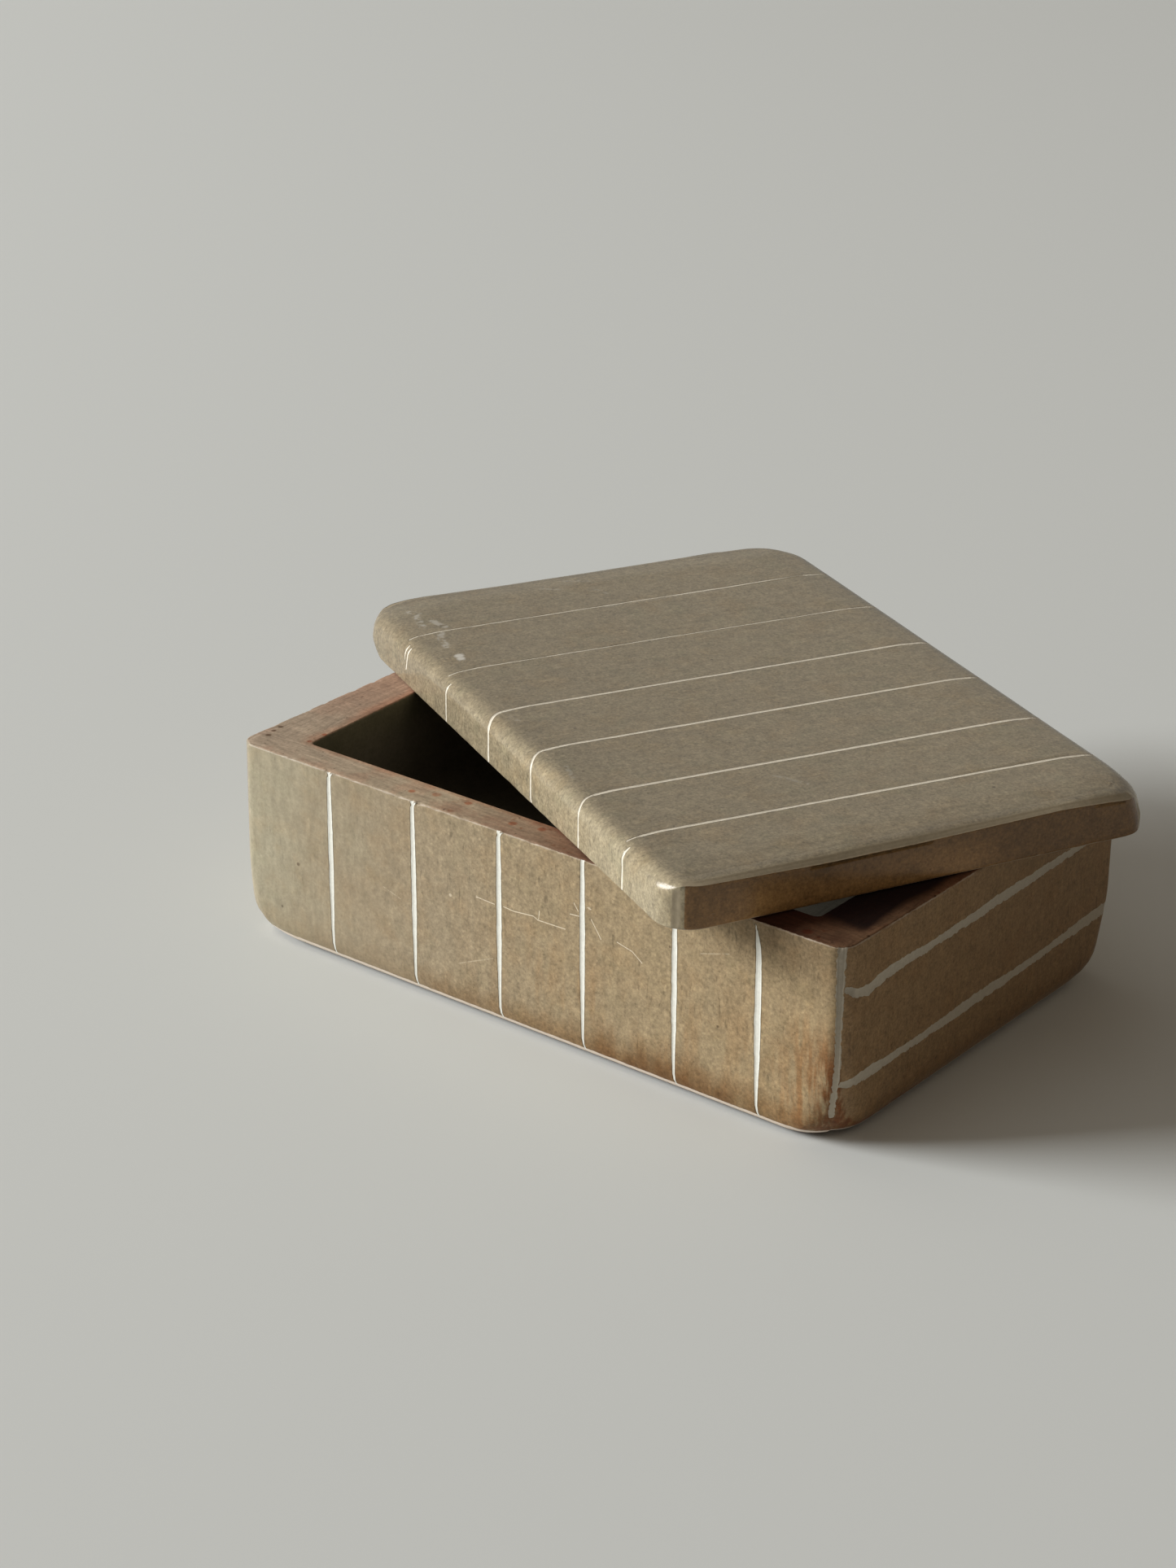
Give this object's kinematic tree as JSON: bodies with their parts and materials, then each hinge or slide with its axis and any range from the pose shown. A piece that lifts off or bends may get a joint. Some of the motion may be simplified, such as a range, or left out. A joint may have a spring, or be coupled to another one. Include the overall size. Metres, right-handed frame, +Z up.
{
  "type": "stone lidded box",
  "caption": "Rectangular trinket box hollowed from a block of dyed soapstone, with a loose slab lid lying askew on its rim and pale lines scratched through the dye.",
  "frame": {"origin": "middle of the block's flat underside, on the surface that the box stands on", "axes": "+Z up, +X along the block's length, -Y towards the long front that the picture shows"},
  "size_m": [0.1779, 0.1563, 0.053],
  "materials": {
    "body_stone": "tan dyed and waxed soapstone, bare pinkish rim, dark dyed hollow, pale scratched lines",
    "lid_stone": "khaki dyed and waxed soapstone with fine pale scratched lines and worn edges"
  },
  "bodies": {
    "box": {"box_body": "body_stone"},
    "lid": {"lid": "lid_stone"}
  },
  "joints": [
    {"name": "lid_lift", "type": "slide", "parent": "box", "child": "lid", "axis": [0, 0, 1], "range_m": [0, 0.06]}
  ]
}
